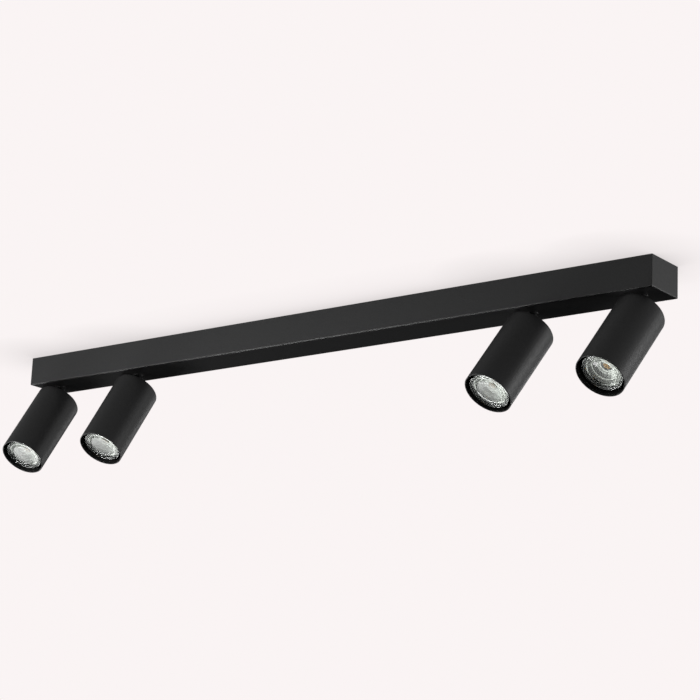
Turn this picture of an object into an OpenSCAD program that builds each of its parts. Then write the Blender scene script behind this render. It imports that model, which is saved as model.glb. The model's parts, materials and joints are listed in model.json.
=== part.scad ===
// Ceiling spot bar: a long box canopy that carries four aimable cylinder spots.
// Each spot swivels on a hollow stem, tilts on a two-pin hinge, and holds a
// reflector lamp that is locked by a short twist.
//
// Millimetres, +Z up. The origin is the middle of the face that meets the
// ceiling. The bar runs along X and its front is towards -Y.

/* [Canopy] */
// Length of the canopy
canopy_l = 1000; // [980:10:1200]
// Width of the canopy, front to back
canopy_w = 60; // [56:1:80]
// Height of the canopy below the ceiling
canopy_h = 39; // [38:1:60]
// Thickness of the folded sheet
sheet_t = 1.2; // [1:0.1:1.4]
// Outside radius of the folds
fold_r = 1.6; // [1.5:0.1:3]

/* [Spots] */
// Distance of the two outer spots from the middle
outer_x = 470; // [465:1:474]
// Distance of the two inner spots from the middle
inner_x = 320; // [315:1:330]
// Outside diameter of the can
can_d = 61; // [60:0.5:64]
// Length of the can
can_l = 111; // [106:1:130]
// Wall of the can
can_t = 1.3; // [1:0.1:1.6]
// Swivel of each spot away from the front, towards the left end, in degrees
heading = [-2, 1.9, 14.1, 10.9]; // [-30:0.1:30]
// Tilt of each spot from straight down, in degrees
tilt = [33.7, 32.1, 36, 37.5]; // [0:0.1:39]
// Depth of each lamp's front glass inside the mouth of its can
lamp_recess = [3.5, 3.9, 2.4, 5]; // [2:0.1:6]

/* [Hinge] */
// Diameter of the stem
stem_d = 12; // [12:0.5:13]
// Height of the hinge pins below the canopy
hinge_drop = 18; // [17:0.5:24]
// Height of the hinge pins above the top of the can
hinge_rise = 4; // [3.6:0.1:4.4]

/* [Ceiling bracket] */
// Length of the bracket
bracket_l = 760; // [700:10:800]
// Distance between the two ceiling slots
slot_spacing = 500; // [400:10:560]
// Length of each slot, end to end
slot_l = 20; // [12:1:30]
// Width of each slot
slot_w = 5.5; // [4:0.5:7]
// Place of the cable inlet along the bar
inlet_x = 60; // [50:1:70]
// Bore of the cable inlet
inlet_d = 10; // [7:0.5:11]

/* [Hidden] */
SPOT_NODES = [
    "swivel_stem", "stem_locknut", "stop_washer",
    "spot_can", "hinge_bracket", "head_screws", "lamp_bridge", "lampholder", "head_wires",
    "lamp_body", "lamp_lens", "led_chip"
];
$fn = 64;

// Shared fits
play = 0.05;       // gap between pieces that are fixed to each other
turn_play = 0.1;   // radial gap of the swivel
cut = 1;           // overshoot of a cutting shape past the face it cuts

spot_x = [-outer_x, -inner_x, inner_x, outer_x];

// Swivel, measured from the underside of the canopy
neck_r = 5;
washer_t = 0.8;
spring_t = 1;
stop_t = 1.5;
nut_t = 4.5;
nut_flats = 14;
stem_top = 9.5;
stem_bore_r = 3.25;
peg_r = 1.2;
peg_reach = 14.5;
tab_w = 1.8;

// Hinge, measured from the axis of its pins
pin_r = 1.5;
fork_gap = 6.1;
fork_w = 11;
fork_r = 4.5;
fork_neck = 8.4;
fork_top = 5.2;
ear_t = 1.5;
ear_in = fork_w / 2 + 0.1;
ear_out = ear_in + ear_t;
ear_r = 4.6;
can_top = -hinge_rise;
can_mouth = can_top - can_l;
can_hole_r = 9;
base_top = can_top - can_t;
base_bottom = base_top - 1.5;

// M3 screws of the head: hinge pins and fixings
screw_l = 4;
screw_head_r = 2.75;
screw_head_h = 1.8;
fixing_x = 13;

// Lamp, measured from its front glass towards its pins
lamp_r = 25.3;
lens_r = 23.2;
lens_edge_t = 1.5;
lens_t = 3;
bowl_depth = 10;
chip_r = 6.5;
chip_z = lens_t + bowl_depth;
base_r = 11;
lamp_back = 46;
pin_pitch_r = 5;
lamp_neck_r = 1.6;
lamp_stud_r = 2.5;
stud_z = lamp_back + 3.2;
stud_end = stud_z + 3;
twist = 18;

// Lampholder and bridge, measured like the lamp
holder_front = lamp_back + 0.3;
holder_back = holder_front + 12;
holder_r = 15;
holder_screw_x = 11;
bridge_t = 1.2;
bridge_w = 16;
bridge_x = 22;

// Wiring
lead_r = 2.3;
lead_lane = [-20, -7, 7, 20];   // outer leads pass beside the inner stems
core_r = 0.7;
wire_r = 1;
floor_z = -canopy_h + sheet_t;

// Bracket
bracket_w = canopy_w - 2 * sheet_t - 0.4;
bracket_t = 1.5;
bracket_h = 14;
canopy_screw_x = 300;
canopy_screw_z = -8;
m4_r = 2;
m4_head_r = 4;
m4_head_h = 2.2;
m4_l = 9.8;
clamp_x = 92;
clamp_y = 11;
clamp_bottom = -10;
earth_at = [104, 21];
block_x = [122, 152];
pole_y = [-8.5, 0, 8.5];
pole_z = -9.5;

BLACK = [0.1, 0.1, 0.11];
STEEL = [0.7, 0.71, 0.72];
BRASS = [0.78, 0.62, 0.3];
NYLON = [0.93, 0.92, 0.88];

// ---------- places ----------

// The underside of the canopy at spot i, turned with the spot
module at_stem(i) {
    translate([spot_x[i], 0, -canopy_h])
        rotate([0, 0, -heading[i]])
            children();
}

// The hinge axis of spot i, before it is tilted
module at_hinge(i) {
    at_stem(i)
        translate([0, 0, -hinge_drop])
            children();
}

// The hinge axis of spot i, tilted with the can
module at_can(i) {
    at_hinge(i)
        rotate([-tilt[i], 0, 0])
            children();
}

// The front glass of lamp i, with +Z towards its pins
module at_lamp(i) {
    at_can(i)
        translate([0, 0, can_mouth + lamp_recess[i]])
            children();
}

// ---------- shapes ----------

function arc(centre, r, from, to, steps = 4) = [
    for (k = [0:steps])
        let (a = from + (to - from) * k / steps) centre + r * [cos(a), sin(a)]
];

// Outline of width w and depth d below zero, its two lower corners rounded
function tray_outline(w, d, r, top) = concat(
    [[-w / 2, top]],
    arc([-w / 2 + r, -d + r], r, 180, 270),
    arc([w / 2 - r, -d + r], r, 270, 360),
    [[w / 2, top]]
);

module along_x(length) {
    rotate([90, 0, 90])
        translate([0, 0, -length / 2])
            linear_extrude(length)
                children();
}

module along_y(length) {
    rotate([90, 0, 0])
        translate([0, 0, -length / 2])
            linear_extrude(length)
                children();
}

// Block with all four lower edges rounded
module tray_block(l, w, d, r, top = 0) {
    intersection() {
        along_x(l) polygon(tray_outline(w, d, r, top));
        along_y(w) polygon(tray_outline(l, d, r, top));
    }
}

module box(x, y, z) {
    translate([x[0], y[0], z[0]])
        cube([x[1] - x[0], y[1] - y[0], z[1] - z[0]]);
}

module rod(r, z) {
    translate([0, 0, z[0]])
        cylinder(r = r, h = z[1] - z[0]);
}

module rod_x(r, x) {
    rotate([0, 90, 0])
        rod(r, x);
}

module ring(r_in, r_out, z) {
    translate([0, 0, z[0]])
        rotate_extrude()
            translate([r_in, 0])
                square([r_out - r_in, z[1] - z[0]]);
}

// Part of a ring between two angles
module ring_part(r_in, r_out, z, from, to) {
    translate([0, 0, z[0]])
        rotate([0, 0, from])
            rotate_extrude(angle = to - from)
                translate([r_in, 0])
                    square([r_out - r_in, z[1] - z[0]]);
}

// Pan-head screw standing on its head: the seat is at z = 0, the shank goes up
module pan_screw(r, length, head_r, head_h) {
    difference() {
        rotate_extrude()
            polygon(concat(
                [[0, length], [0, -head_h]],
                arc([head_r - 0.6, -head_h + 0.6], 0.6, -90, 0, 3),
                [[head_r, 0], [r, 0], [r, length - 0.4], [r - 0.4, length]]
            ));
        for (a = [0, 90])
            rotate([0, 0, a])
                box([-head_r * 0.55, head_r * 0.55], [-0.35, 0.35], [-head_h - cut, -head_h + 0.9]);
    }
}

function unit(v) = v / norm(v);

// A bent route: each inner point of pts becomes a smooth bend
function bend(p, before, after, r, steps) =
    let (u = unit(before - p), w = unit(after - p))
    [for (k = [0:steps]) let (t = k / steps) p + r * (pow(1 - t, 2) * u + pow(t, 2) * w)];

function route(pts, r, steps = 5) = concat(
    [pts[0]],
    [for (i = [1:len(pts) - 2]) each bend(pts[i], pts[i - 1], pts[i + 1], r, steps)],
    [pts[len(pts) - 1]]
);

// Round wire along a route that never runs parallel to side
module wire(path, r, side = [0, 1, 0], edges = 8) {
    n = len(path);
    points = [
        for (i = [0:n - 1])
            let (
                t = unit(path[min(i + 1, n - 1)] - path[max(i - 1, 0)]),
                u = unit(cross(side, t)),
                v = cross(t, u)
            )
            for (k = [0:edges - 1])
                path[i] + r * (cos(360 * k / edges) * u + sin(360 * k / edges) * v)
    ];
    walls = [
        for (i = [0:n - 2]) for (k = [0:edges - 1])
            let (a = i * edges + k, b = i * edges + (k + 1) % edges)
            [a, a + edges, b + edges, b]
    ];
    ends = [
        [for (k = [0:edges - 1]) k],
        [for (k = [edges - 1:-1:0]) (n - 1) * edges + k]
    ];
    polyhedron(points = points, faces = concat(walls, ends));
}

// ---------- canopy and ceiling bracket ----------

module canopy_housing() {
    color(BLACK)
    difference() {
        intersection() {
            tray_block(canopy_l, canopy_w, canopy_h, fold_r);
            translate([0, 0, -canopy_h - cut])
                linear_extrude(canopy_h + 2 * cut)
                    polygon([
                        for (q = [[1, 1], [-1, 1], [-1, -1], [1, -1]])
                            let (nick = q[0] * q[1] > 0 ? [[0, 0.5], [0.5, 0]] : [[0.5, 0], [0, 0.5]])
                            for (c = nick)
                                [q[0] * (canopy_l / 2 - c[0]), q[1] * (canopy_w / 2 - c[1])]
                    ]);
        }
        tray_block(
            canopy_l - 2 * sheet_t, canopy_w - 2 * sheet_t, canopy_h - sheet_t,
            fold_r - sheet_t, cut
        );
        for (x = spot_x)
            translate([x, 0, 0])
                rod(neck_r + turn_play, [-canopy_h - cut, floor_z + cut]);
        for (s = [-1, 1])
            translate([s * canopy_screw_x, canopy_w / 2 - sheet_t / 2, canopy_screw_z])
                rotate([90, 0, 0])
                    rod(m4_r + 0.25, [-sheet_t, sheet_t]);
    }
}

module ceiling_bracket() {
    outer = bracket_w / 2;
    color(STEEL)
    difference() {
        union() {
            difference() {
                along_x(bracket_l)
                    rotate(180)
                        polygon(tray_outline(bracket_w, 0, 2, bracket_h));
                along_x(bracket_l + 2 * cut)
                    rotate(180)
                        polygon(tray_outline(bracket_w - 2 * bracket_t, -bracket_t, 0.5, bracket_h + cut));
            }
            // Welded nuts for the canopy screws and the earth screw
            for (s = [-1, 1])
                translate([s * canopy_screw_x, 0, canopy_screw_z])
                    rotate([-90, 0, 0])
                        rod(4, [outer - bracket_t - 4, outer - bracket_t / 2]);
            translate(earth_at)
                rod(4, [-bracket_t - 7, -bracket_t / 2]);
        }
        for (s = [-1, 1])
            translate([s * canopy_screw_x, 0, canopy_screw_z])
                rotate([-90, 0, 0])
                    rod(m4_r + play, [outer - bracket_t - 4 - cut, outer + cut]);
        translate(earth_at)
            rod(m4_r + play, [-bracket_t - 7 - cut, cut]);
        // Ceiling slots
        for (s = [-1, 1])
            translate([s * slot_spacing / 2, 0, 0]) {
                box([-(slot_l - slot_w) / 2, (slot_l - slot_w) / 2], [-slot_w / 2, slot_w / 2], [-bracket_t - cut, cut]);
                for (e = [-1, 1])
                    translate([e * (slot_l - slot_w) / 2, 0, 0])
                        rod(slot_w / 2, [-bracket_t - cut, cut]);
            }
        // Cable inlet and cord clamp
        translate([inlet_x, 0, 0])
            rod(8, [-bracket_t - cut, cut]);
        for (s = [-1, 1])
            translate([clamp_x, s * clamp_y, 0])
                rod(m4_r + play, [-bracket_t - cut, cut]);
        // Snap holes of the terminal block
        for (s = [-1, 1])
            translate([(block_x[0] + block_x[1]) / 2, s * 4.25, 0])
                rod(1.6, [-bracket_t - cut, cut]);
    }
}

module canopy_screws() {
    color(BLACK)
    for (s = [-1, 1])
        translate([s * canopy_screw_x, canopy_w / 2, canopy_screw_z])
            rotate([90, 0, 0])
                pan_screw(m4_r, 7, m4_head_r, m4_head_h);
}

module bracket_screws() {
    color(STEEL) {
        for (s = [-1, 1])
            translate([clamp_x, s * clamp_y, clamp_bottom])
                pan_screw(m4_r, m4_l, m4_head_r - 0.2, m4_head_h);
        translate([earth_at[0], earth_at[1], clamp_bottom])
            pan_screw(m4_r, m4_l, m4_head_r - 0.2, m4_head_h);
    }
}

module cord_clamp() {
    color(NYLON)
    translate([clamp_x, 0, 0])
        difference() {
            box([-5, 5], [-16, 16], [clamp_bottom, clamp_bottom + 5]);
            translate([0, 0, clamp_bottom + 5])
                rod_x(3.5, [-6, 6]);
            for (s = [-1, 1])
                translate([0, s * clamp_y, 0])
                    rod(m4_r + 0.2, [clamp_bottom - cut, clamp_bottom + 5 + cut]);
        }
}

module cable_grommet() {
    color([0.08, 0.08, 0.08])
    translate([inlet_x, 0, 0])
        rotate_extrude()
            polygon([
                [inlet_d / 2, -0.1], [8 - play, -0.1], [8 - play, -bracket_t - play],
                [10.5, -bracket_t - play], [10.5, -bracket_t - 1.3], [9.8, -bracket_t - 2],
                [inlet_d / 2, -bracket_t - 2]
            ]);
}

module terminal_block() {
    top = -bracket_t - play;
    middle = (block_x[0] + block_x[1]) / 2;
    color(NYLON)
    difference() {
        union() {
            box(block_x, [-14, 14], [top - 16, top]);
            for (s = [-1, 1])
                translate([middle, s * 4.25, 0])
                    rod(1.5, [top - 1, -0.3]);
        }
        for (y = pole_y) {
            // Wire entries from both ends
            for (e = [[block_x[0] - cut, middle - 2.5], [middle + 2.5, block_x[1] + cut]])
                box(e, [y - 3.5, y + 3.5], [pole_z - 3, pole_z + 3]);
            // Screw wells, open downwards
            for (x = [middle - 8, middle + 8])
                translate([x, y, 0])
                    rod(2.2, [top - 16 - cut, pole_z - 2]);
        }
        // Grooves between the poles
        for (s = [-1, 1])
            box(block_x + [-cut, cut], [s * 4.25 - 0.5, s * 4.25 + 0.5], [top - 16 - cut, top - 13.5]);
    }
}

module terminal_screws() {
    middle = (block_x[0] + block_x[1]) / 2;
    color(BRASS)
    for (y = pole_y) for (x = [middle - 8, middle + 8])
        translate([x, y, pole_z - 7.3])
            difference() {
                rod(2, [0, 4.8]);
                box([-3, 3], [-0.4, 0.4], [-cut, 1]);
            }
}

// ---------- wiring in the canopy ----------

// Lead of spot i: out of the stem, along the canopy floor and up to the terminal
module lamp_lead(i) {
    x = spot_x[i];
    out = x < 0 ? 1 : -1;                // way from the stem to the terminal
    lane = lead_lane[i];
    run_z = floor_z + lead_r + 0.3;
    above = -canopy_h + stem_top + 6;
    end = [196, lane, pole_z - 7];
    down = [x, 0, -canopy_h - hinge_drop + 2];
    out_of_stem = [down, [x, 0, above], [x + out * 26, 0, run_z], [x + out * 60, lane, run_z]];
    left_end = [[end[0] + 22, lane, run_z], [end[0] + 22, lane, end[2]], end];
    right_end = [[end[0] + 30, lane, run_z], [end[0] + 14, lane, end[2]], end];
    wire(route(concat(out_of_stem, x < 0 ? left_end : right_end), 7), lead_r);
}

// The three cores of lead i, fanned out to the three poles
module lamp_cores(i) {
    for (p = [0:2]) {
        start = [196, lead_lane[i], pole_z - 7 + (p - 1) * 1.5];
        entry = [block_x[1], pole_y[p] + (i - 1.5) * 1.6, pole_z + (p - 1) * 1.6];
        wire(
            route([start, start - [8, 0, 0], entry + [8, 0, 0], entry - [9, 0, 0]], 4, 3),
            core_r, edges = 6
        );
    }
}

module internal_wiring() {
    color([0.85, 0.85, 0.83])
    for (i = [0:3])
        lamp_lead(i);
    color([0.35, 0.3, 0.2])
    for (i = [0:3])
        lamp_cores(i);
    // Earth wire with its ring under the earth screw
    ring_z = clamp_bottom;
    color([0.45, 0.6, 0.15]) {
        wire(
            route([
                [block_x[0] + 8, pole_y[1], pole_z], [block_x[0] - 7, pole_y[1], pole_z],
                [earth_at[0] + 5, earth_at[1] - 7, ring_z + 0.6], [earth_at[0] + 1.4, earth_at[1] - 2.8, ring_z + 0.6]
            ], 3, 3),
            core_r, [0, 0, 1], 6
        );
        translate([earth_at[0], earth_at[1], 0])
            ring(m4_r + 0.2, 3.9, [ring_z + play, ring_z + 1.2]);
    }
}

// ---------- swivel ----------

module glide_washers() {
    color(NYLON)
    for (x = spot_x)
        translate([x, 0, -canopy_h])
            ring(neck_r + turn_play, 7.5, [-washer_t, 0]);
}

module spring_washers() {
    color(STEEL)
    for (x = spot_x)
        translate([x, 0, floor_z])
            ring(neck_r + turn_play, 9, [0, spring_t]);
}

module stop_pegs() {
    color(STEEL)
    for (x = spot_x)
        translate([x, peg_reach, floor_z])
            rod(peg_r, [0, 4.2]);
}

module stop_washer(i) {
    bottom = sheet_t + spring_t + play;
    color(STEEL)
    at_stem(i)
        difference() {
            union() {
                rod(9, [bottom, bottom + stop_t]);
                box([-tab_w / 2, tab_w / 2], [-peg_reach - peg_r, -8], [bottom, bottom + stop_t]);
            }
            rod(neck_r + 0.02, [bottom - cut, bottom + stop_t + cut]);
        }
}

module stem_locknut(i) {
    bottom = sheet_t + spring_t + play + stop_t;
    color(BRASS)
    at_stem(i)
        translate([0, 0, bottom])
            difference() {
                cylinder(d = nut_flats / cos(30), h = nut_t, $fn = 6);
                rod(neck_r + 0.02, [-cut, nut_t + cut]);
            }
}

module swivel_stem(i) {
    shoulder = hinge_drop - washer_t - play;
    top = hinge_drop + stem_top;
    color(BLACK)
    at_hinge(i)
        difference() {
            union() {
                rotate_extrude()
                    polygon([
                        [0, fork_top], [stem_d / 2, fork_top], [stem_d / 2, shoulder - 0.3],
                        [stem_d / 2 - 0.3, shoulder], [neck_r, shoulder], [neck_r, top - 0.5],
                        [neck_r - 0.5, top], [0, top]
                    ]);
                // Fork, milled from the end of the round bar
                intersection() {
                    rod(stem_d / 2, [-fork_r - cut, fork_top + cut / 2]);
                    union() {
                        rod_x(fork_r, [-fork_w / 2, fork_w / 2]);
                        box([-fork_w / 2, fork_w / 2], [-fork_neck / 2, fork_neck / 2], [0, fork_top + cut]);
                    }
                }
            }
            rod(stem_bore_r, [-fork_r - cut, top + cut]);
            box([-fork_gap / 2, fork_gap / 2], [-stem_d, stem_d], [-fork_r - cut, fork_top - 0.6]);
            rod_x(pin_r + play, [-stem_d, stem_d]);
        }
}

// ---------- head ----------

module spot_can(i) {
    r = can_d / 2;
    edge = 1;
    color(BLACK)
    at_can(i)
        difference() {
            rotate_extrude()
                polygon(concat(
                    [[can_hole_r, can_top]],
                    arc([r - edge, can_top - edge], edge, 90, 0),
                    [
                        [r, can_mouth + 0.3], [r - 0.3, can_mouth], [r - can_t + 0.2, can_mouth],
                        [r - can_t, can_mouth + 0.2], [r - can_t, base_top], [can_hole_r, base_top]
                    ]
                ));
            for (s = [-1, 1])
                translate([s * fixing_x, 0, 0])
                    rod(pin_r + play, [base_top - cut, can_top + cut]);
        }
}

module hinge_bracket(i) {
    color(STEEL)
    at_can(i)
        difference() {
            union() {
                box([-17, 17], [-9, 9], [base_bottom, base_top]);
                for (s = [-1, 1])
                    scale([s, 1, 1]) {
                        rod_x(ear_r, [ear_in, ear_out]);
                        box([ear_in, ear_out], [-4.4, 4.4], [base_bottom + 0.5, 0]);
                    }
            }
            rod(4.5, [base_bottom - cut, base_top + cut]);
            rod_x(pin_r + play, [-ear_out - cut, ear_out + cut]);
            for (s = [-1, 1])
                translate([s * fixing_x, 0, 0])
                    rod(pin_r + play, [base_bottom - cut, base_top + cut]);
        }
}

// Two hinge pins, two fixings through the top of the can, two for the lampholder
module head_screws(i) {
    color(STEEL) {
        at_can(i)
            for (s = [-1, 1]) {
                translate([s * ear_out, 0, 0])
                    rotate([0, -90 * s, 0])
                        pan_screw(pin_r, screw_l, screw_head_r, screw_head_h);
                translate([s * fixing_x, 0, can_top])
                    rotate([180, 0, 0])
                        pan_screw(pin_r, screw_l, screw_head_r, screw_head_h);
            }
        at_lamp(i)
            for (s = [-1, 1])
                translate([s * holder_screw_x, 0, holder_back + bridge_t])
                    rotate([180, 0, 0])
                        pan_screw(pin_r, screw_l, screw_head_r, screw_head_h);
    }
}

module lamp_bridge(i) {
    bar = can_mouth + lamp_recess[i] + holder_back;
    half = bridge_w / 2;
    color(STEEL)
    at_can(i)
        difference() {
            union() {
                box([-bridge_x, bridge_x], [-half, half], [bar, bar + bridge_t]);
                for (s = [-1, 1])
                    scale([s, 1, 1]) {
                        box([bridge_x - bridge_t, bridge_x], [-half, half], [bar, base_bottom]);
                        box([9.5, bridge_x], [-half, half], [base_bottom - bridge_t, base_bottom]);
                    }
            }
            rod(7, [bar - cut, bar + bridge_t + cut]);
            for (s = [-1, 1]) {
                translate([s * fixing_x, 0, 0])
                    rod(pin_r + play, [base_bottom - bridge_t - cut, base_bottom + cut]);
                translate([s * holder_screw_x, 0, 0])
                    rod(pin_r + play, [bar - cut, bar + bridge_t + cut]);
            }
        }
}

// Ceramic twist-lock holder: the studs go in at one end of each T-slot and turn into it
module lampholder(i) {
    throat = 1.9;
    chamber = 2.8;
    entry = 2.7;
    throat_top = stud_z - 0.2;
    color([0.93, 0.92, 0.9])
    at_lamp(i)
        difference() {
            intersection() {
                rod(holder_r, [holder_front, holder_back]);
                box([-holder_r, holder_r], [-10, 10], [holder_front, holder_back]);
            }
            for (turn = [0, 180])
                rotate([0, 0, turn]) {
                    ring_part(
                        pin_pitch_r - throat, pin_pitch_r + throat,
                        [holder_front - cut, throat_top + cut / 2], -twist - 24, 24
                    );
                    ring_part(
                        pin_pitch_r - chamber, pin_pitch_r + chamber,
                        [throat_top, stud_end + 0.6], -twist - 38, 38
                    );
                    rotate([0, 0, -twist])
                        translate([pin_pitch_r, 0, 0])
                            rod(entry, [holder_front - cut, throat_top + cut / 2]);
                    // Wire entry at the back
                    translate([pin_pitch_r, 0, 0])
                        rod(wire_r + 0.1, [holder_back - 4, holder_back + cut]);
                    translate([holder_screw_x, 0, 0])
                        rod(pin_r + play, [holder_back - 5, holder_back + cut]);
                }
        }
}

// Two leads from the hinge to the back of the lampholder
module head_wires(i) {
    back = can_mouth + lamp_recess[i] + holder_back;
    color([0.6, 0.35, 0.2])
    at_can(i)
        for (s = [-1, 1])
            wire(
                route([
                    [s * 1.2, 0, -1.6], [s * 1.2, 0, base_bottom - 6],
                    [s * pin_pitch_r, 0, back + 12], [s * pin_pitch_r, 0, back - 3.5]
                ], 5, 4),
                wire_r
            );
}

// ---------- lamp ----------

module lamp_body(i) {
    outer_curve = [
        for (k = [0:8])
            let (s = 0.97 * k / 8)
            [base_r + 1 + 13 * sqrt(1 - s * s), 6 + 27 * k / 8]
    ];
    bowl = [
        for (k = [0:8])
            let (r = chip_r + 0.1 + (lens_r - 0.7 - chip_r) * k / 8)
            [r, lens_t + bowl_depth * (1 - pow((r - chip_r) / (lens_r - chip_r), 2)) + play]
    ];
    color([0.8, 0.82, 0.82])
    at_lamp(i) {
        difference() {
            rotate_extrude()
                polygon(concat(
                    [[0, lamp_back], [0, chip_z + 1.6 + play], [chip_r + 0.1, chip_z + 1.6 + play]],
                    bowl,
                    [[lens_r + play, lens_t + play], [lens_r + play, lens_edge_t + play], [lamp_r, lens_edge_t + play], [lamp_r, 5]],
                    outer_curve,
                    [[base_r, 35], [base_r, lamp_back]]
                ));
            for (s = [-1, 1])
                translate([s * pin_pitch_r, 0, 0])
                    rod(lamp_neck_r + 0.02, [lamp_back - 6, lamp_back + cut]);
        }
        for (s = [-1, 1])
            translate([s * pin_pitch_r, 0, 0])
                rotate_extrude()
                    polygon([
                        [0, lamp_back - 6 + play], [lamp_neck_r, lamp_back - 6 + play], [lamp_neck_r, stud_z],
                        [lamp_stud_r, stud_z], [lamp_stud_r, stud_end - 0.6],
                        [lamp_stud_r - 0.6, stud_end], [0, stud_end]
                    ]);
    }
}

module lamp_lens(i) {
    color([0.85, 0.9, 0.88, 0.4])
    at_lamp(i)
        rotate_extrude()
            polygon(concat(
                [[0, lens_t]],
                [[0, 0]],
                [
                    [lamp_r - 0.5, 0], [lamp_r, 0.5], [lamp_r, lens_edge_t],
                    [lens_r, lens_edge_t], [lens_r, lens_t]
                ]
            ));
}

module led_chip(i) {
    color([0.95, 0.75, 0.25])
    at_lamp(i)
        rotate_extrude()
            polygon([
                [0, chip_z + 1.6], [0, chip_z - 0.8], [3.4, chip_z - 0.8], [4.2, chip_z],
                [chip_r, chip_z], [chip_r, chip_z + 1.6]
            ]);
}

// ---------- nodes ----------

canopy_housing();
ceiling_bracket();
canopy_screws();
bracket_screws();
terminal_block();
terminal_screws();
cable_grommet();
cord_clamp();
internal_wiring();
stop_pegs();
glide_washers();
spring_washers();
for (i = [0:3]) {
    swivel_stem(i);
    stem_locknut(i);
    stop_washer(i);
    spot_can(i);
    hinge_bracket(i);
    head_screws(i);
    lamp_bridge(i);
    lampholder(i);
    head_wires(i);
    lamp_body(i);
    lamp_lens(i);
    led_chip(i);
}
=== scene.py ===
"""Ceiling spot bar with four cylinder spots: looks, ceiling, light and camera."""
import json
import math
import random

import bmesh
import bpy
from mathutils import Matrix, Vector


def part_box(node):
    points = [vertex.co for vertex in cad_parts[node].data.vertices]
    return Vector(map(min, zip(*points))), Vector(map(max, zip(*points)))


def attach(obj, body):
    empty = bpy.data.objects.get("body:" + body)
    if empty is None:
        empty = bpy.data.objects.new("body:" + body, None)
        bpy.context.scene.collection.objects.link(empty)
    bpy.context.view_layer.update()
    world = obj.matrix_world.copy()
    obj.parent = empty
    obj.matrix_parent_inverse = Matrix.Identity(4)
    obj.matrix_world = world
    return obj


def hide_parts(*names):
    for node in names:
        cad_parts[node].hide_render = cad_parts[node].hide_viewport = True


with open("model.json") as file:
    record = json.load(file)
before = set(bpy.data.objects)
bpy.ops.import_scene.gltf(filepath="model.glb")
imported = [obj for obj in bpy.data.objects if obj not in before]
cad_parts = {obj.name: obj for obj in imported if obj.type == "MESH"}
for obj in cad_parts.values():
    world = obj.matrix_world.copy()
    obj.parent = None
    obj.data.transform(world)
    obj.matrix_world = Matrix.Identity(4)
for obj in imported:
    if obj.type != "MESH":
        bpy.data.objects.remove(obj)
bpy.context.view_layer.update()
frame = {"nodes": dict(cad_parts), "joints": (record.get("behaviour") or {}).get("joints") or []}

MM = 0.001
SPOTS = (1, 2, 3, 4)
NODES = frame["nodes"]
JOINTS = {joint["name"]: joint for joint in frame["joints"]}

# Camera
CAMERA_AT = Vector((1.674, -2.081, -0.750))
CAMERA_AIM = Vector((0.046, 0.0, -0.0495))
CAMERA_ROLL = 2.59   # degrees
CAMERA_LENS = 110.7  # mm on a 36 mm sensor

# Ceiling and backdrop
PALE = (0.955, 0.905, 0.905)  # linear colour
SHADE_REACH = 0.11   # metres from the bar
SHADE_DEPTH = 0.25   # share of light lost where the ceiling meets the bar
CEILING_HALF = 14.0
AMBIENT = 0.0005
LAMP_LIGHT_FROM = Vector((-0.90, 0.35, -0.15))  # brightest side of what the lamps see
LAMP_DARK = 0.04
LAMP_BRIGHT = 2.4
CEILING_GLOW = 0.30   # the ceiling as a light, against its look

# Wires that aren't grey, in metres: above WIRES_FROM and between these X
WIRES_FROM = -0.0195
CORES_X = (0.140, 0.1965)
EARTH_X = (0.095, 0.1305)

# Canopy coat
UNDERSIDE = -0.0375   # height in metres below which the canopy is smoother, bend and floor
SLEEK_BY = 0.09       # roughness taken off there

# Lamp, measured from its front glass towards its pins, in millimetres
LAMP_R = 25.3
GLASS_EDGE = 1.5
GLASS_T = 3.0
GLASS_STEP_R = 23.2
BOWL_R = 22.5
BOWL_DEPTH = 10.0
BOWL_GAP = 0.3       # reflector stands this far in front of the lamp's shell
CHIP_PLATE_R = 6.5
CHIP_PLATE_T = 1.6
PHOSPHOR_R = 4.6
DOME_RISE = 1.4      # height of the silicone dome over the phosphor
FACET_RINGS = 4
FACETS_ROUND = 22
FACET_BULGE = 0.14
FACET_LIFT = 0.16    # corners of facets differ in height by up to this
MIRROR_R = 21.3      # the mirror's outer edge; outside it the lamp's shell shows, coloured dark as painted shade
FLUTE_R = 16.5       # outside this the bowl has radial flutes in place of facets
FLUTES = 54
FLUTE_STEPS = 4
FLUTE_DEPTH = 0.09
DOME_R = 16.5        # convex middle of the front glass
SHELL_T = 0.2        # thickness of the reflector's sheet


# ---------- material building ----------

def new_material(name):
    """A material, its node tree and its Principled shader."""
    material = bpy.data.materials.new(name)
    material.use_nodes = True
    tree = material.node_tree
    return material, tree, tree.nodes["Principled BSDF"]


def node(tree, kind, **inputs):
    """A node with some of its inputs set; an underscore stands for a space."""
    made = tree.nodes.new(kind)
    for name, value in inputs.items():
        made.inputs[name.replace("_", " ")].default_value = value
    return made


def coords(tree, stretch=(1.0, 1.0, 1.0)):
    """Object coordinates, stretched along each axis."""
    mapping = node(tree, "ShaderNodeMapping", Scale=stretch)
    source = tree.nodes.new("ShaderNodeTexCoord")
    tree.links.new(source.outputs["Object"], mapping.inputs["Vector"])
    return mapping.outputs["Vector"]


def noise(tree, scale, detail=2.0, stretch=(1.0, 1.0, 1.0)):
    made = node(tree, "ShaderNodeTexNoise", Scale=scale, Detail=detail)
    tree.links.new(coords(tree, stretch), made.inputs["Vector"])
    return made.outputs["Fac"]


def cells(tree, scale):
    made = node(tree, "ShaderNodeTexVoronoi", Scale=scale)
    tree.links.new(coords(tree), made.inputs["Vector"])
    return made.outputs["Color"]


def spread(tree, value, low, high, start=0.3, end=0.7):
    """Stretches the part of a texture value from start to end over low to high."""
    made = node(tree, "ShaderNodeMapRange", From_Min=start, From_Max=end, To_Min=low, To_Max=high)
    tree.links.new(value, made.inputs["Value"])
    return made.outputs["Result"]


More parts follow.
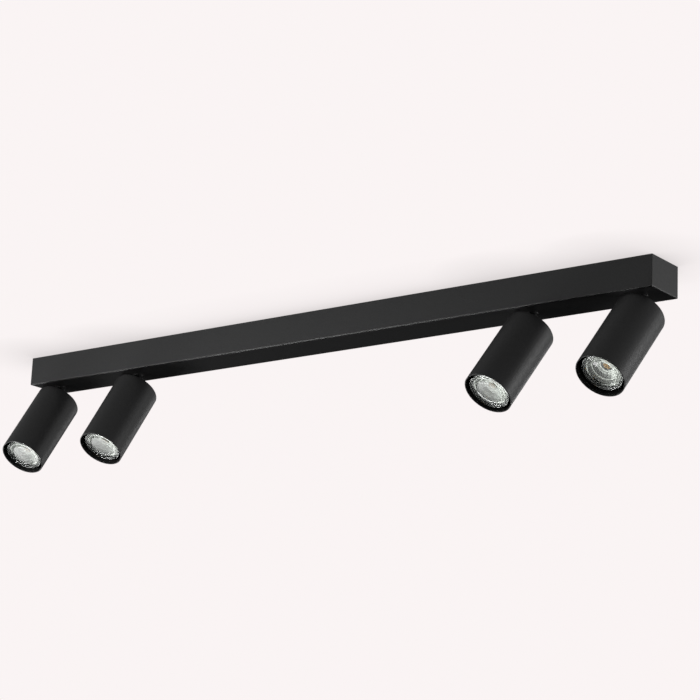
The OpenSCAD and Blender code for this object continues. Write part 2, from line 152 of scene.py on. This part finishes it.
def ramp(tree, value, stops):
    """A colour ramp through (place, colour) stops."""
    made = tree.nodes.new("ShaderNodeValToRGB")
    while len(made.color_ramp.elements) < len(stops):
        made.color_ramp.elements.new(0.5)
    for element, (place, colour) in zip(made.color_ramp.elements, stops):
        element.position = place
        element.color = (*colour, 1.0)
    tree.links.new(value, made.inputs["Fac"])
    return made.outputs["Color"]


def two_tones(tree, value, dark, light):
    return ramp(tree, value, [(0.35, dark), (0.65, light)])


def paint(tree, shader, colour, roughness, **fixed):
    """Links a colour and a roughness, and sets the shader's other sockets to fixed values."""
    tree.links.new(colour, shader.inputs["Base Color"])
    tree.links.new(roughness, shader.inputs["Roughness"])
    for name, value in fixed.items():
        shader.inputs[name.replace("_", " ")].default_value = value


def bump(tree, shader, height, strength, distance):
    made = node(tree, "ShaderNodeBump", Strength=strength, Distance=distance)
    tree.links.new(height, made.inputs["Height"])
    tree.links.new(made.outputs["Normal"], shader.inputs["Normal"])


def powder_coat(name, dark, light, rough, specular, sleek=None):
    """Black powder coat: orange peel, mottled colour and gloss; smoother below the height sleek."""
    material, tree, shader = new_material(name)
    colour = two_tones(tree, noise(tree, 700.0, 4.0), dark, light)
    gloss = spread(tree, noise(tree, 240.0), rough - 0.04, rough + 0.04)
    if sleek is not None:
        gloss = lowered(tree, gloss, inside(tree, "Z", -1.0, sleek), SLEEK_BY)
    paint(tree, shader, colour, gloss, Specular_IOR_Level=specular)
    bump(tree, shader, noise(tree, 1400.0), 0.15, 0.0001)
    return material


def plated_steel(name, dark, light, rough):
    """Zinc plate: small crystal cells and a fine grain."""
    material, tree, shader = new_material(name)
    colour = two_tones(tree, cells(tree, 420.0), dark, light)
    paint(tree, shader, colour, spread(tree, noise(tree, 600.0), rough - 0.08, rough + 0.1), Metallic=1.0)
    bump(tree, shader, noise(tree, 2500.0), 0.15, 0.0001)
    return material


def worked_metal(name, dark, light, rough, stretch, metallic=1.0, specular=0.5):
    """Metal with fine lines along one way, as it is rolled, turned or blackened."""
    material, tree, shader = new_material(name)
    lines = noise(tree, 500.0, 3.0, stretch)
    gloss = spread(tree, lines, rough - 0.07, rough + 0.09)
    colour = two_tones(tree, lines, dark, light)
    paint(tree, shader, colour, gloss, Metallic=metallic, Specular_IOR_Level=specular)
    bump(tree, shader, lines, 0.2, 0.0001)
    return material


def moulded(name, dark, light, rough, grain=1800.0, subsurface=0.0):
    """Plastic or rubber: slight mottling and a fine grain."""
    material, tree, shader = new_material(name)
    colour = two_tones(tree, noise(tree, 160.0, 3.0), dark, light)
    gloss = spread(tree, noise(tree, 420.0), rough - 0.06, rough + 0.06)
    paint(tree, shader, colour, gloss, Subsurface_Weight=subsurface)
    shader.inputs["Subsurface Scale"].default_value = 0.002
    bump(tree, shader, noise(tree, grain), 0.25, 0.0001)
    return material


def speckled_ceramic(name):
    material, tree, shader = new_material(name)
    specks = ramp(tree, noise(tree, 1500.0, 5.0), [(0.3, (0.55, 0.53, 0.48)), (0.42, (0.82, 0.8, 0.74))])
    paint(tree, shader, specks, spread(tree, noise(tree, 300.0), 0.5, 0.68))
    bump(tree, shader, noise(tree, 900.0, 4.0), 0.35, 0.0002)
    return material


def inside(tree, axis, low, high):
    """1 where the object's X, Y or Z lies between low and high, else 0."""
    split = tree.nodes.new("ShaderNodeSeparateXYZ")
    tree.links.new(coords(tree), split.inputs[0])
    gates = []
    for operation, edge in (("GREATER_THAN", low), ("LESS_THAN", high)):
        gate = tree.nodes.new("ShaderNodeMath")
        gate.operation = operation
        tree.links.new(split.outputs[axis], gate.inputs[0])
        gate.inputs[1].default_value = edge
        gates.append(gate.outputs[0])
    return multiply(tree, *gates)


def multiply(tree, a, b):
    product = tree.nodes.new("ShaderNodeMath")
    product.operation = "MULTIPLY"
    tree.links.new(a, product.inputs[0])
    tree.links.new(b, product.inputs[1])
    return product.outputs[0]


def lowered(tree, value, mask, amount):
    """The value, less the amount where mask is 1."""
    made = tree.nodes.new("ShaderNodeMath")
    made.operation = "MULTIPLY_ADD"
    tree.links.new(mask, made.inputs[0])
    made.inputs[1].default_value = -amount
    tree.links.new(value, made.inputs[2])
    return made.outputs[0]


def tint(tree, colour, other, mask):
    """Colour where mask is 0, other where it is 1."""
    mix = tree.nodes.new("ShaderNodeMix")
    mix.data_type = "RGBA"
    tree.links.new(mask, mix.inputs["Factor"])
    tree.links.new(colour, mix.inputs["A"])
    mix.inputs["B"].default_value = (*other, 1.0)
    return mix.outputs["Result"]


def wiring_sheath(name):
    """Grey leads, brown cores at the terminal and a green and yellow earth wire."""
    material, tree, shader = new_material(name)
    grey = two_tones(tree, noise(tree, 140.0, 3.0), (0.56, 0.56, 0.54), (0.66, 0.66, 0.64))
    high = inside(tree, "Z", WIRES_FROM, 0.0)
    cores = multiply(tree, high, inside(tree, "X", *CORES_X))
    earth = multiply(tree, high, inside(tree, "X", *EARTH_X))
    stripes = spread(tree, noise(tree, 300.0, 0.0, (0.2, 1.0, 0.2)), 0.0, 1.0, 0.49, 0.51)
    colour = tint(tree, tint(tree, grey, (0.2, 0.09, 0.04), cores), (0.12, 0.42, 0.06), earth)
    colour = tint(tree, colour, (0.85, 0.7, 0.05), multiply(tree, earth, stripes))
    paint(tree, shader, colour, spread(tree, noise(tree, 300.0), 0.38, 0.5))
    bump(tree, shader, noise(tree, 900.0), 0.1, 0.0001)
    return material


def mirror_metal(name):
    """Vapour-deposited aluminium with faint haze."""
    material, tree, shader = new_material(name)
    colour = two_tones(tree, noise(tree, 260.0, 3.0), (0.80, 0.81, 0.78), (0.90, 0.91, 0.88))
    paint(tree, shader, colour, spread(tree, noise(tree, 500.0), 0.285, 0.33), Metallic=1.0)
    bump(tree, shader, noise(tree, 900.0), 0.02, 0.0001)
    return material


def front_glass_material(name, frost, haze):
    """Clear or lightly frosted glass; frost is its roughness and haze its milkiness."""
    material, tree, shader = new_material(name)
    colour = two_tones(tree, noise(tree, 90.0), (0.93, 0.96, 0.93), (0.96, 0.98, 0.96))
    gloss = spread(tree, noise(tree, 700.0, 3.0), frost * 0.92, frost * 1.08)
    paint(tree, shader, colour, gloss, Transmission_Weight=1.0 - haze, IOR=1.48)
    bump(tree, shader, noise(tree, 1200.0), 0.01, 0.0001)
    return material


def phosphor_material(name):
    material, tree, shader = new_material(name)
    colour = two_tones(tree, noise(tree, 1800.0, 4.0), (0.70, 0.38, 0.09), (0.86, 0.50, 0.16))
    paint(tree, shader, colour, spread(tree, noise(tree, 900.0), 0.6, 0.75), Specular_IOR_Level=0.2)
    # painted glow: the phosphor gives off a faint orange light of its own, though the lamp is off
    shader.inputs["Emission Color"].default_value = (1.0, 0.5, 0.1, 1.0)
    shader.inputs["Emission Strength"].default_value = 0.06
    bump(tree, shader, noise(tree, 4000.0), 0.2, 0.0001)
    return material


LENGTHWISE = (0.05, 1.0, 1.0)
TURNED = (1.0, 1.0, 6.0)
MATERIALS = {
    "canopy_coat": powder_coat(
        "canopy_coat", (0.017, 0.017, 0.0175), (0.025, 0.025, 0.0255), 0.46, 0.5, UNDERSIDE,
    ),
    "can_coat": powder_coat("can_coat", (0.010, 0.010, 0.0105), (0.016, 0.016, 0.0165), 0.50, 0.5),
    # stems: black coat, coloured darker than the can coat as painted shade where they stand between cans
    # and canopy
    "stem_coat": powder_coat("stem_coat", (0.007, 0.007, 0.0073), (0.011, 0.011, 0.0113), 0.6, 0.12),
    # blackened screws, coloured darker still as painted shade, since the hinge screws sit in shade
    "black_screw": worked_metal(
        "black_screw", (0.007, 0.007, 0.0073), (0.013, 0.013, 0.0133), 0.7, TURNED, 0.1, 0.12,
    ),
    "zinc_steel": plated_steel("zinc_steel", (0.5, 0.52, 0.54), (0.68, 0.7, 0.72), 0.36),
    "spring_steel": worked_metal(
        "spring_steel", (0.3, 0.3, 0.31), (0.46, 0.46, 0.47), 0.34, LENGTHWISE,
    ),
    "brass": worked_metal("brass", (0.55, 0.38, 0.14), (0.75, 0.55, 0.24), 0.3, TURNED),
    "nylon": moulded("nylon", (0.72, 0.70, 0.64), (0.8, 0.78, 0.72), 0.5, subsurface=0.1),
    "black_nylon": moulded("black_nylon", (0.012, 0.012, 0.012), (0.022, 0.022, 0.022), 0.5),
    "rubber": moulded("rubber", (0.02, 0.02, 0.02), (0.035, 0.035, 0.035), 0.78, 900.0),
    "cable_sheath": wiring_sheath("cable_sheath"),
    "silicone_lead": moulded("silicone_lead", (0.36, 0.1, 0.03), (0.46, 0.15, 0.05), 0.55),
    "ceramic": speckled_ceramic("ceramic"),
    # lamp shell coloured near black as painted shade: inside the can it stands in shade round the mirror
    "lamp_shell": moulded("lamp_shell", (0.05, 0.055, 0.052), (0.08, 0.085, 0.082), 0.3),
}
MIRROR = mirror_metal("reflector_mirror")
CLEAR_GLASS = front_glass_material("clear_glass", 0.02, 0.0)
FROSTED_GLASS = front_glass_material("frosted_glass", 0.31, 0.14)
HAZED_GLASS = front_glass_material("hazed_glass", 0.31, 0.06)
DOME_GLASS = {1: FROSTED_GLASS, 2: HAZED_GLASS, 3: FROSTED_GLASS, 4: CLEAR_GLASS}
PHOSPHOR = phosphor_material("phosphor")
CHIP_BOARD = moulded("chip_board", (0.7, 0.7, 0.68), (0.82, 0.82, 0.8), 0.4)


# ---------- mesh building ----------

def add_mesh(name, mesh_builder, matrix, material, body):
    """Makes an object of a bmesh in millimetres, places it and lets it ride on a body."""
    mesh = bpy.data.meshes.new(name)
    mesh_builder.to_mesh(mesh)
    mesh_builder.free()
    mesh.materials.append(material)
    made = bpy.data.objects.new(name, mesh)
    bpy.context.scene.collection.objects.link(made)
    made.matrix_world = matrix
    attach(made, body)
    return made


def smooth(made, angle=30.0):
    """Smooth shading, but for edges sharper than the angle in degrees."""
    made.data.shade_smooth()
    made.data.set_sharp_from_angle(angle=math.radians(angle))
    return made


def lathe(profile, steps=96):
    """A closed solid turned from (radius, height) points in millimetres; radius 0 makes a pole."""
    made = bmesh.new()
    rings = []
    for radius, height in profile:
        if radius == 0:
            rings.append([made.verts.new((0, 0, height))] * steps)
            continue
        ring = []
        for k in range(steps):
            turn = 2 * math.pi * k / steps
            ring.append(made.verts.new((radius * math.cos(turn), radius * math.sin(turn), height)))
        rings.append(ring)
    pairs = list(zip(rings, rings[1:]))
    if profile[0][0] > 0:
        pairs.append((rings[-1], rings[0]))
    for a, b in pairs:
        for k in range(steps):
            corners = [a[k], a[(k + 1) % steps], b[(k + 1) % steps], b[k]]
            unique = list(dict.fromkeys(corners))
            if len(unique) > 2:
                made.faces.new(unique)
    bmesh.ops.recalc_face_normals(made, faces=made.faces)
    return made


def rounded(points, size, steps=3):
    """Rounds each inner corner of a (radius, height) profile."""
    made = [points[0]]
    for before, here, after in zip(points, points[1:], points[2:]):
        p = Vector(here)
        u = Vector(before) - p
        w = Vector(after) - p
        cut = min(size, u.length * 0.45, w.length * 0.45)
        u.normalize()
        w.normalize()
        for k in range(steps + 1):
            t = k / steps
            made.append(tuple(p + cut * ((1 - t) ** 2 * u + t ** 2 * w)))
    made.append(points[-1])
    return made


# ---------- lamps ----------

def lamp_matrix(i):
    """Millimetres from the front glass, +Z towards the pins and +X along the hinge pins."""
    twist = JOINTS[f"lamp_twist_{i}"]
    out = Vector(twist["axis"]).normalized()
    at = Vector(twist["pos_m"])
    front = max((v.co - at).dot(out) for v in NODES[f"lamp_lens_{i}"].data.vertices)
    z = -out
    x = -Vector(JOINTS[f"tilt_{i}"]["axis"]).normalized()
    y = z.cross(x)
    turn = Matrix((x, y, z)).transposed().to_4x4()
    return Matrix.Translation(at + out * front) @ turn @ Matrix.Scale(MM, 4)


def bowl_height(radius):
    share = (radius - CHIP_PLATE_R) / (BOWL_R - CHIP_PLATE_R)
    return GLASS_T + BOWL_DEPTH * (1 - share * share) - BOWL_GAP


def facet(made, inner, outer, start, end, lifts):
    """One pillow-shaped facet between two radii and two angles, its four corners lifted a little."""
    grid = []
    for a in range(3):
        radius = inner + (outer - inner) * a / 2
        row = []
        for b in range(3):
            turn = start + (end - start) * b / 2
            height = bowl_height(inner) + (bowl_height(outer) - bowl_height(inner)) * a / 2
            near = lifts[0] + (lifts[1] - lifts[0]) * b / 2
            far = lifts[2] + (lifts[3] - lifts[2]) * b / 2
            flat = radius * math.cos((end - start) / 2) if b == 1 else radius
            lift = near + (far - near) * a / 2 + (FACET_BULGE if (a, b) == (1, 1) else 0.0)
            row.append((flat * math.cos(turn), flat * math.sin(turn), height - lift))
        grid.append([made.verts.new(p) for p in row])
    for a in range(2):
        for b in range(2):
            made.faces.new((grid[a][b], grid[a][b + 1], grid[a + 1][b + 1], grid[a + 1][b]))


def flutes(made):
    """Radial flutes from the facets to the mirror's edge, deepest in the middle."""
    rows = []
    rings = 6
    for a in range(rings + 1):
        radius = FLUTE_R + (MIRROR_R - FLUTE_R) * a / rings
        depth = FLUTE_DEPTH * math.sin(math.pi * a / rings)
        row = []
        for k in range(FLUTES * FLUTE_STEPS):
            turn = 2 * math.pi * k / (FLUTES * FLUTE_STEPS)
            height = bowl_height(radius) - depth * abs(math.sin(turn * FLUTES / 2))
            row.append(made.verts.new((radius * math.cos(turn), radius * math.sin(turn), height)))
        rows.append(row)
    for a, b in zip(rows, rows[1:]):
        for k in range(len(a)):
            n = (k + 1) % len(a)
            made.faces.new((a[k], a[n], b[n], b[k]))


def make_reflector(i, matrix):
    """Bowl with rings of pillow facets round the chip and radial flutes outside them."""
    made = bmesh.new()
    step = 2 * math.pi / FACETS_ROUND
    span = (FLUTE_R - CHIP_PLATE_R) / FACET_RINGS
    chance = random.Random(5)
    lift = [
        [chance.uniform(-FACET_LIFT, FACET_LIFT) for k in range(FACETS_ROUND)]
        for ring in range(FACET_RINGS)
    ]
    lift[0] = [0.0] * FACETS_ROUND
    lift.append(lift[0])
    for ring in range(FACET_RINGS):
        inner = CHIP_PLATE_R + ring * span
        for k in range(FACETS_ROUND):
            start = k * step
            n = (k + 1) % FACETS_ROUND
            lifts = (lift[ring][k], lift[ring][n], lift[ring + 1][k], lift[ring + 1][n])
            facet(made, inner, inner + span, start, start + step, lifts)
    bmesh.ops.remove_doubles(made, verts=made.verts, dist=0.001)
    flutes(made)
    bmesh.ops.recalc_face_normals(made, faces=made.faces)
    piece = add_mesh(f"reflector_{i}", made, matrix, MIRROR, f"lamp_{i}")
    smooth(piece, 9.0)
    sheet = piece.modifiers.new("sheet", "SOLIDIFY")
    sheet.thickness = SHELL_T
    sheet.offset = 0.0
    return piece


def make_glass(i, matrix):
    """Front glass: a convex middle, moulded rings round it and a stepped back."""
    dome = [(DOME_R * k / 8, 0.1 + 1.3 * (k / 8) ** 2) for k in range(9)]
    front = dome + [
        (DOME_R + 0.6, 0.7), (20.0, 0.6), (20.3, 0.4), (20.9, 0.4), (21.2, 0.65), (21.9, 0.65),
        (22.2, 0.4), (22.9, 0.4), (23.2, 0.6), (23.9, 0.6), (24.2, 0.1), (24.9, 0.0), (LAMP_R, 0.5),
        (LAMP_R, GLASS_EDGE),
    ]
    back = [
        (GLASS_STEP_R, GLASS_EDGE), (GLASS_STEP_R, 2.6), (21.6, 2.6),
        (21.2, GLASS_T - 0.6), (0.0, GLASS_T - 0.6),
    ]
    profile = rounded(front + back, 0.25)
    piece = add_mesh(f"front_glass_{i}", lathe(profile), matrix, CLEAR_GLASS, f"lamp_{i}")
    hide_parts(f"lamp_lens_{i}")
    if DOME_GLASS[i] != CLEAR_GLASS:
        piece.data.materials.append(DOME_GLASS[i])
        for face in piece.data.polygons:
            middle = face.center
            if math.hypot(middle.x, middle.y) < DOME_R and middle.z < 1.5:
                face.material_index = 1
    return smooth(piece)


def make_chip(i, matrix):
    """Ceramic plate with a raised dam round a domed disc of phosphor."""
    top = GLASS_T + BOWL_DEPTH
    dam = PHOSPHOR_R + 0.8
    board = rounded([
        (0.0, top + CHIP_PLATE_T), (CHIP_PLATE_R, top + CHIP_PLATE_T), (CHIP_PLATE_R, top), (dam, top),
        (dam - 0.1, top - 1.0), (PHOSPHOR_R, top - 1.0), (PHOSPHOR_R - 0.1, top - 0.2), (0.0, top - 0.2),
    ], 0.2)
    piece = add_mesh(f"chip_board_{i}", lathe(board, 64), matrix, CHIP_BOARD, f"lamp_{i}")
    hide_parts(f"led_chip_{i}")
    smooth(piece)
    rim = PHOSPHOR_R - 0.15
    arc = [math.pi / 2 * k / 10 for k in range(10)]
    dome = [(0.0, top - 0.25), (rim, top - 0.25)]
    dome += [(rim * math.cos(a), top - 0.6 - DOME_RISE * math.sin(a)) for a in arc]
    dome.append((0.0, top - 0.6 - DOME_RISE))
    disc = add_mesh(f"phosphor_{i}", lathe(dome, 64), matrix, PHOSPHOR, f"lamp_{i}")
    smooth(disc, 50.0)


def make_lamps():
    for i in SPOTS:
        matrix = lamp_matrix(i)
        make_reflector(i, matrix)
        make_glass(i, matrix)
        make_chip(i, matrix)


def finish_cad_nodes():
    """Gives every CAD node its material, and rounds the wires."""
    for name, thing in NODES.items():
        slot = thing.data.materials[0].name
        if slot in MATERIALS:
            thing.data.materials[0] = MATERIALS[slot]
        if "wir" in name:
            weld = thing.modifiers.new("weld", "WELD")
            weld.merge_threshold = 1e-5
            thing.modifiers.new("round", "SUBSURF").render_levels = 2


# ---------- ceiling, light and camera ----------

def make_ceiling():
    """White ceiling seen from below, open above the bar; it can't be seen from above."""
    lo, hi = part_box("canopy_housing")
    far = CEILING_HALF
    inner = [(lo.x, lo.y), (hi.x, lo.y), (hi.x, hi.y), (lo.x, hi.y)]
    outer = [(-far, -far), (far, -far), (far, far), (-far, far)]
    points = [(x, y, 0.0) for x, y in inner + outer]
    faces = [(k, (k + 1) % 4, (k + 1) % 4 + 4, k + 4) for k in range(4)]
    mesh = bpy.data.meshes.new("ceiling")
    mesh.from_pydata(points, [], faces)
    mesh.update()
    ceiling = bpy.data.objects.new("ceiling", mesh)
    bpy.context.scene.collection.objects.link(ceiling)
    mesh.materials.append(ceiling_material())


def ceiling_material():
    """White with the soft shade of the bar beside it, clear from above, dimmer as a light."""
    material = bpy.data.materials.new("ceiling_paint")
    material.use_nodes = True
    tree = material.node_tree
    tree.nodes.clear()
    out = tree.nodes.new("ShaderNodeOutputMaterial")
    near = node(tree, "ShaderNodeAmbientOcclusion", Distance=SHADE_REACH)
    near.samples = 16
    shade = spread(tree, near.outputs["AO"], 1.0 - SHADE_DEPTH, 1.0, 0.5, 1.0)
    seen = node(tree, "ShaderNodeEmission", Color=(*PALE, 1.0))
    tree.links.new(shade, seen.inputs["Strength"])
    glow = node(tree, "ShaderNodeEmission", Color=(1.0, 1.0, 1.0, 1.0), Strength=CEILING_GLOW)
    path = tree.nodes.new("ShaderNodeLightPath")
    clear = tree.nodes.new("ShaderNodeBsdfTransparent")
    side = tree.nodes.new("ShaderNodeNewGeometry")
    below = mix_shaders(tree, path.outputs["Is Camera Ray"], glow, seen)
    both = mix_shaders(tree, side.outputs["Backfacing"], below, clear)
    tree.links.new(both.outputs[0], out.inputs["Surface"])
    return material


def mix_shaders(tree, factor, first, second):
    mix = tree.nodes.new("ShaderNodeMixShader")
    tree.links.new(factor, mix.inputs[0])
    tree.links.new(first.outputs[0], mix.inputs[1])
    tree.links.new(second.outputs[0], mix.inputs[2])
    return mix


def make_world():
    """Pale behind everything; as a light it is dim, but bright to the mirrors behind glass."""
    world = bpy.data.worlds.new("studio")
    bpy.context.scene.world = world
    world.use_nodes = True
    tree = world.node_tree
    tree.nodes.clear()
    out = tree.nodes.new("ShaderNodeOutputWorld")
    seen = node(tree, "ShaderNodeBackground", Color=(*PALE, 1.0), Strength=1.0)
    light = node(tree, "ShaderNodeBackground", Color=(1.0, 1.0, 1.0, 1.0), Strength=AMBIENT)
    bright = node(tree, "ShaderNodeBackground", Color=(1.0, 1.0, 1.0, 1.0))
    toward = tree.nodes.new("ShaderNodeVectorMath")
    toward.operation = "DOT_PRODUCT"
    sky = tree.nodes.new("ShaderNodeTexCoord")
    tree.links.new(sky.outputs["Generated"], toward.inputs[0])
    toward.inputs[1].default_value = LAMP_LIGHT_FROM.normalized()
    level = spread(tree, toward.outputs["Value"], LAMP_DARK, LAMP_BRIGHT, 0.22, 0.97)
    tree.links.new(level, bright.inputs["Strength"])
    path = tree.nodes.new("ShaderNodeLightPath")
    through = tree.nodes.new("ShaderNodeMath")
    through.operation = "GREATER_THAN"
    tree.links.new(path.outputs["Transmission Depth"], through.inputs[0])
    through.inputs[1].default_value = 0.5
    other = mix_shaders(tree, through.outputs[0], light, bright)
    both = mix_shaders(tree, path.outputs["Is Camera Ray"], other, seen)
    tree.links.new(both.outputs[0], out.inputs["Surface"])


def area_light(name, at, aim, size, power):
    """Soft rectangular light of size (width, height) in metres."""
    data = bpy.data.lights.new(name, "AREA")
    data.shape = "RECTANGLE"
    data.size, data.size_y = size
    data.energy = power
    light = bpy.data.objects.new(name, data)
    light.location = at
    light.rotation_euler = (Vector(aim) - Vector(at)).to_track_quat("-Z", "Y").to_euler()
    light.visible_camera = False
    light.visible_transmission = False
    bpy.context.scene.collection.objects.link(light)


def make_camera():
    data = bpy.data.cameras.new("camera")
    data.lens = CAMERA_LENS
    data.sensor_width = 36.0
    camera = bpy.data.objects.new("camera", data)
    turn = (CAMERA_AIM - CAMERA_AT).to_track_quat("-Z", "Y").to_matrix()
    roll = Matrix.Rotation(math.radians(CAMERA_ROLL), 3, "Z")
    camera.matrix_world = Matrix.Translation(CAMERA_AT) @ (turn @ roll).to_4x4()
    bpy.context.scene.collection.objects.link(camera)
    bpy.context.scene.camera = camera


make_camera()
make_ceiling()
make_world()
area_light("front_left", (-0.5, -0.9, -0.25), (-0.25, 0, -0.05), (0.4, 0.25), 2.8)
area_light("front_far_left", (-1.0, -0.9, -0.25), (-0.5, 0, -0.05), (0.4, 0.25), 2.6)
area_light("low_left", (-0.9, -0.5, -1.2), (-0.2, 0, -0.05), (0.5, 0.35), 8.5)
area_light("floor_left", (-2.7, -1.0, -3.2), (0, 0, -0.05), (1.2, 0.8), 22.0)
area_light("far_left", (-3.277, 0.0, -2.294), (0, 0, -0.05), (1.2, 0.8), 14.1)
area_light("right", (2.036, 0.359, -0.752), (0, 0, -0.05), (1.6, 1.0), 5.6)
area_light("back_right", (1.887, 1.089, -0.306), (0, 0, -0.05), (0.9, 0.55), 14.4)
area_light("above", (0.2, 0.3, 2.2), (0, 0, 0), (1.6, 1.2), 22)
area_light("rear_fill", (-0.3, 2.3, -0.02), (0, 0, -0.08), (1.2, 0.03), 3.0)
area_light("far_room", (-2.1, 2.6, -0.93), (-2.1, 0, -0.93), (3.6, 1.2), 0.26)
area_light("back", (1.089, 1.887, -0.306), (0, 0, -0.05), (0.9, 0.55), 1.3)
finish_cad_nodes()
make_lamps()
bpy.context.scene.view_settings.view_transform = "Standard"
